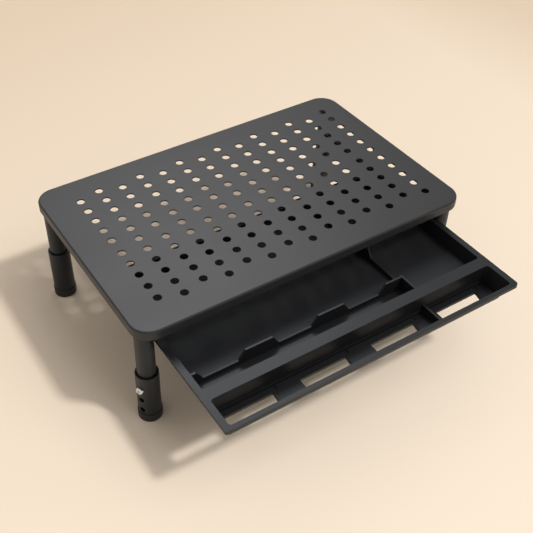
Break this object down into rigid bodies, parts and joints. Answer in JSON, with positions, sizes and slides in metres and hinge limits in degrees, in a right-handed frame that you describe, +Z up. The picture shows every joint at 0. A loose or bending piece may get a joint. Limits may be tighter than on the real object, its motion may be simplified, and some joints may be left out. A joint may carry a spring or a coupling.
{
  "type": "laptop stand with drawer",
  "caption": "Folded steel platform with ventilation holes on telescopic round legs, with a moulded organiser drawer that slides on rails under it.",
  "frame": {"origin": "on the floor under the feet, in the middle of the footprint with the drawer at its rest, which is the partly open place that the picture shows", "axes": "+X to the right as seen from the drawer's front, +Y towards the back, +Z up"},
  "size_m": [0.3736, 0.3384, 0.125],
  "materials": {
    "platform_coat": "fine satin powder coat, dark grey",
    "tube_coat": "satin powder coat, dark grey",
    "sleeve_coat": "satin powder coat, dark grey",
    "rail_coat": "satin powder coat, dark grey",
    "foot_rubber": "matte black rubber",
    "screw_chrome": "bright plated steel",
    "drawer_plastic": "fine grained charcoal moulding",
    "glide_plastic": "smooth black low-friction plastic",
    "insert_plastic": "plain black plastic",
    "bare_steel": "zinc plated steel",
    "rivet_metal": "plain blind rivet"
  },
  "bodies": {
    "stand": {"platform": "platform_coat", "leg_pads": "bare_steel", "leg_studs": "bare_steel", "tube_inserts": "insert_plastic", "tube_end_rings": "insert_plastic", "front_left_tube": "tube_coat", "front_right_tube": "tube_coat", "rear_left_tube": "tube_coat", "rear_right_tube": "tube_coat", "left_rail": "rail_coat", "right_rail": "rail_coat", "left_glide": "glide_plastic", "right_glide": "glide_plastic", "rail_studs": "bare_steel", "rail_nuts": "bare_steel", "glide_rivets": "rivet_metal"},
    "drawer": {"drawer_tray": "drawer_plastic"},
    "front_left_leg_end": {"front_left_sleeve": "sleeve_coat", "front_left_foot": "foot_rubber", "front_left_lock_screw": "screw_chrome"},
    "front_right_leg_end": {"front_right_sleeve": "sleeve_coat", "front_right_foot": "foot_rubber", "front_right_lock_screw": "screw_chrome"},
    "rear_left_leg_end": {"rear_left_sleeve": "sleeve_coat", "rear_left_foot": "foot_rubber", "rear_left_lock_screw": "screw_chrome"},
    "rear_right_leg_end": {"rear_right_sleeve": "sleeve_coat", "rear_right_foot": "foot_rubber", "rear_right_lock_screw": "screw_chrome"}
  },
  "joints": [
    {"name": "drawer_slide", "type": "slide", "parent": "stand", "child": "drawer", "axis": [0, -1, 0], "range_m": [-0.1064, 0.0336]},
    {"name": "front_left_sleeve_slide", "type": "slide", "parent": "stand", "child": "front_left_leg_end", "axis": [0, 0, 1], "range_m": [0, 0.028]},
    {"name": "front_right_sleeve_slide", "type": "slide", "parent": "stand", "child": "front_right_leg_end", "axis": [0, 0, 1], "range_m": [0, 0.028]},
    {"name": "rear_left_sleeve_slide", "type": "slide", "parent": "stand", "child": "rear_left_leg_end", "axis": [0, 0, 1], "range_m": [0, 0.028]},
    {"name": "rear_right_sleeve_slide", "type": "slide", "parent": "stand", "child": "rear_right_leg_end", "axis": [0, 0, 1], "range_m": [0, 0.028]}
  ]
}
